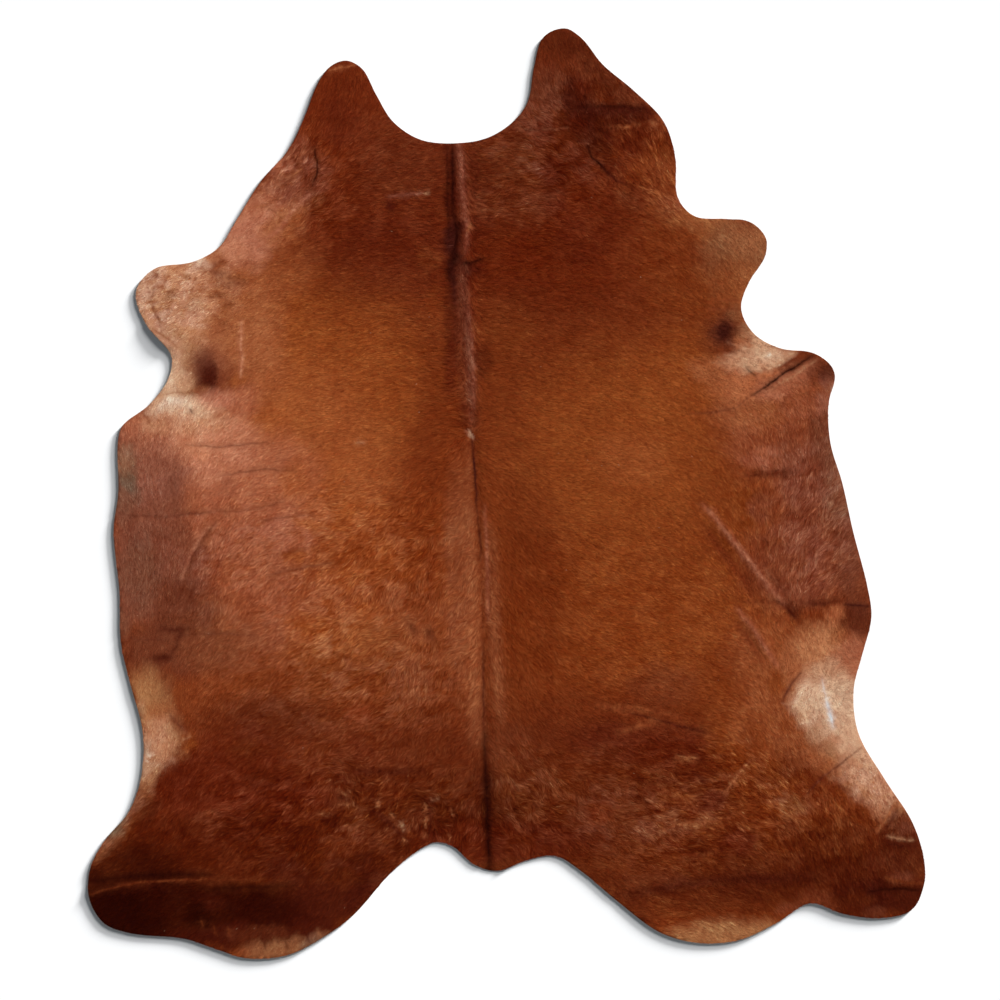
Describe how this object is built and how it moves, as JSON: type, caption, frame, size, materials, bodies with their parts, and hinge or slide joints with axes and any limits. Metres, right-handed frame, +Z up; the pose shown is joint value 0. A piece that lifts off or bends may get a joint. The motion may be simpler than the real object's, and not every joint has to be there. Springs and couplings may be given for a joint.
{
  "type": "cowhide rug",
  "caption": "Whole hair-on cowhide lying flat as a floor rug, with its natural neck, leg and tail outline, a ridge along the back and low folds at the flanks.",
  "frame": {"origin": "middle of the hide's box, on the floor under it", "axes": "+Y from the tail to the neck, +X to the right seen from above, +Z up out of the hair side"},
  "size_m": [1.9796, 2.1992, 0.0112],
  "materials": {
    "hair_on_hide": "short lying hair, chestnut to dark red-brown with cream at the legs, soft sheen; pale suede on the flesh side"
  },
  "bodies": {
    "root": {"hide": "hair_on_hide"}
  },
  "joints": []
}
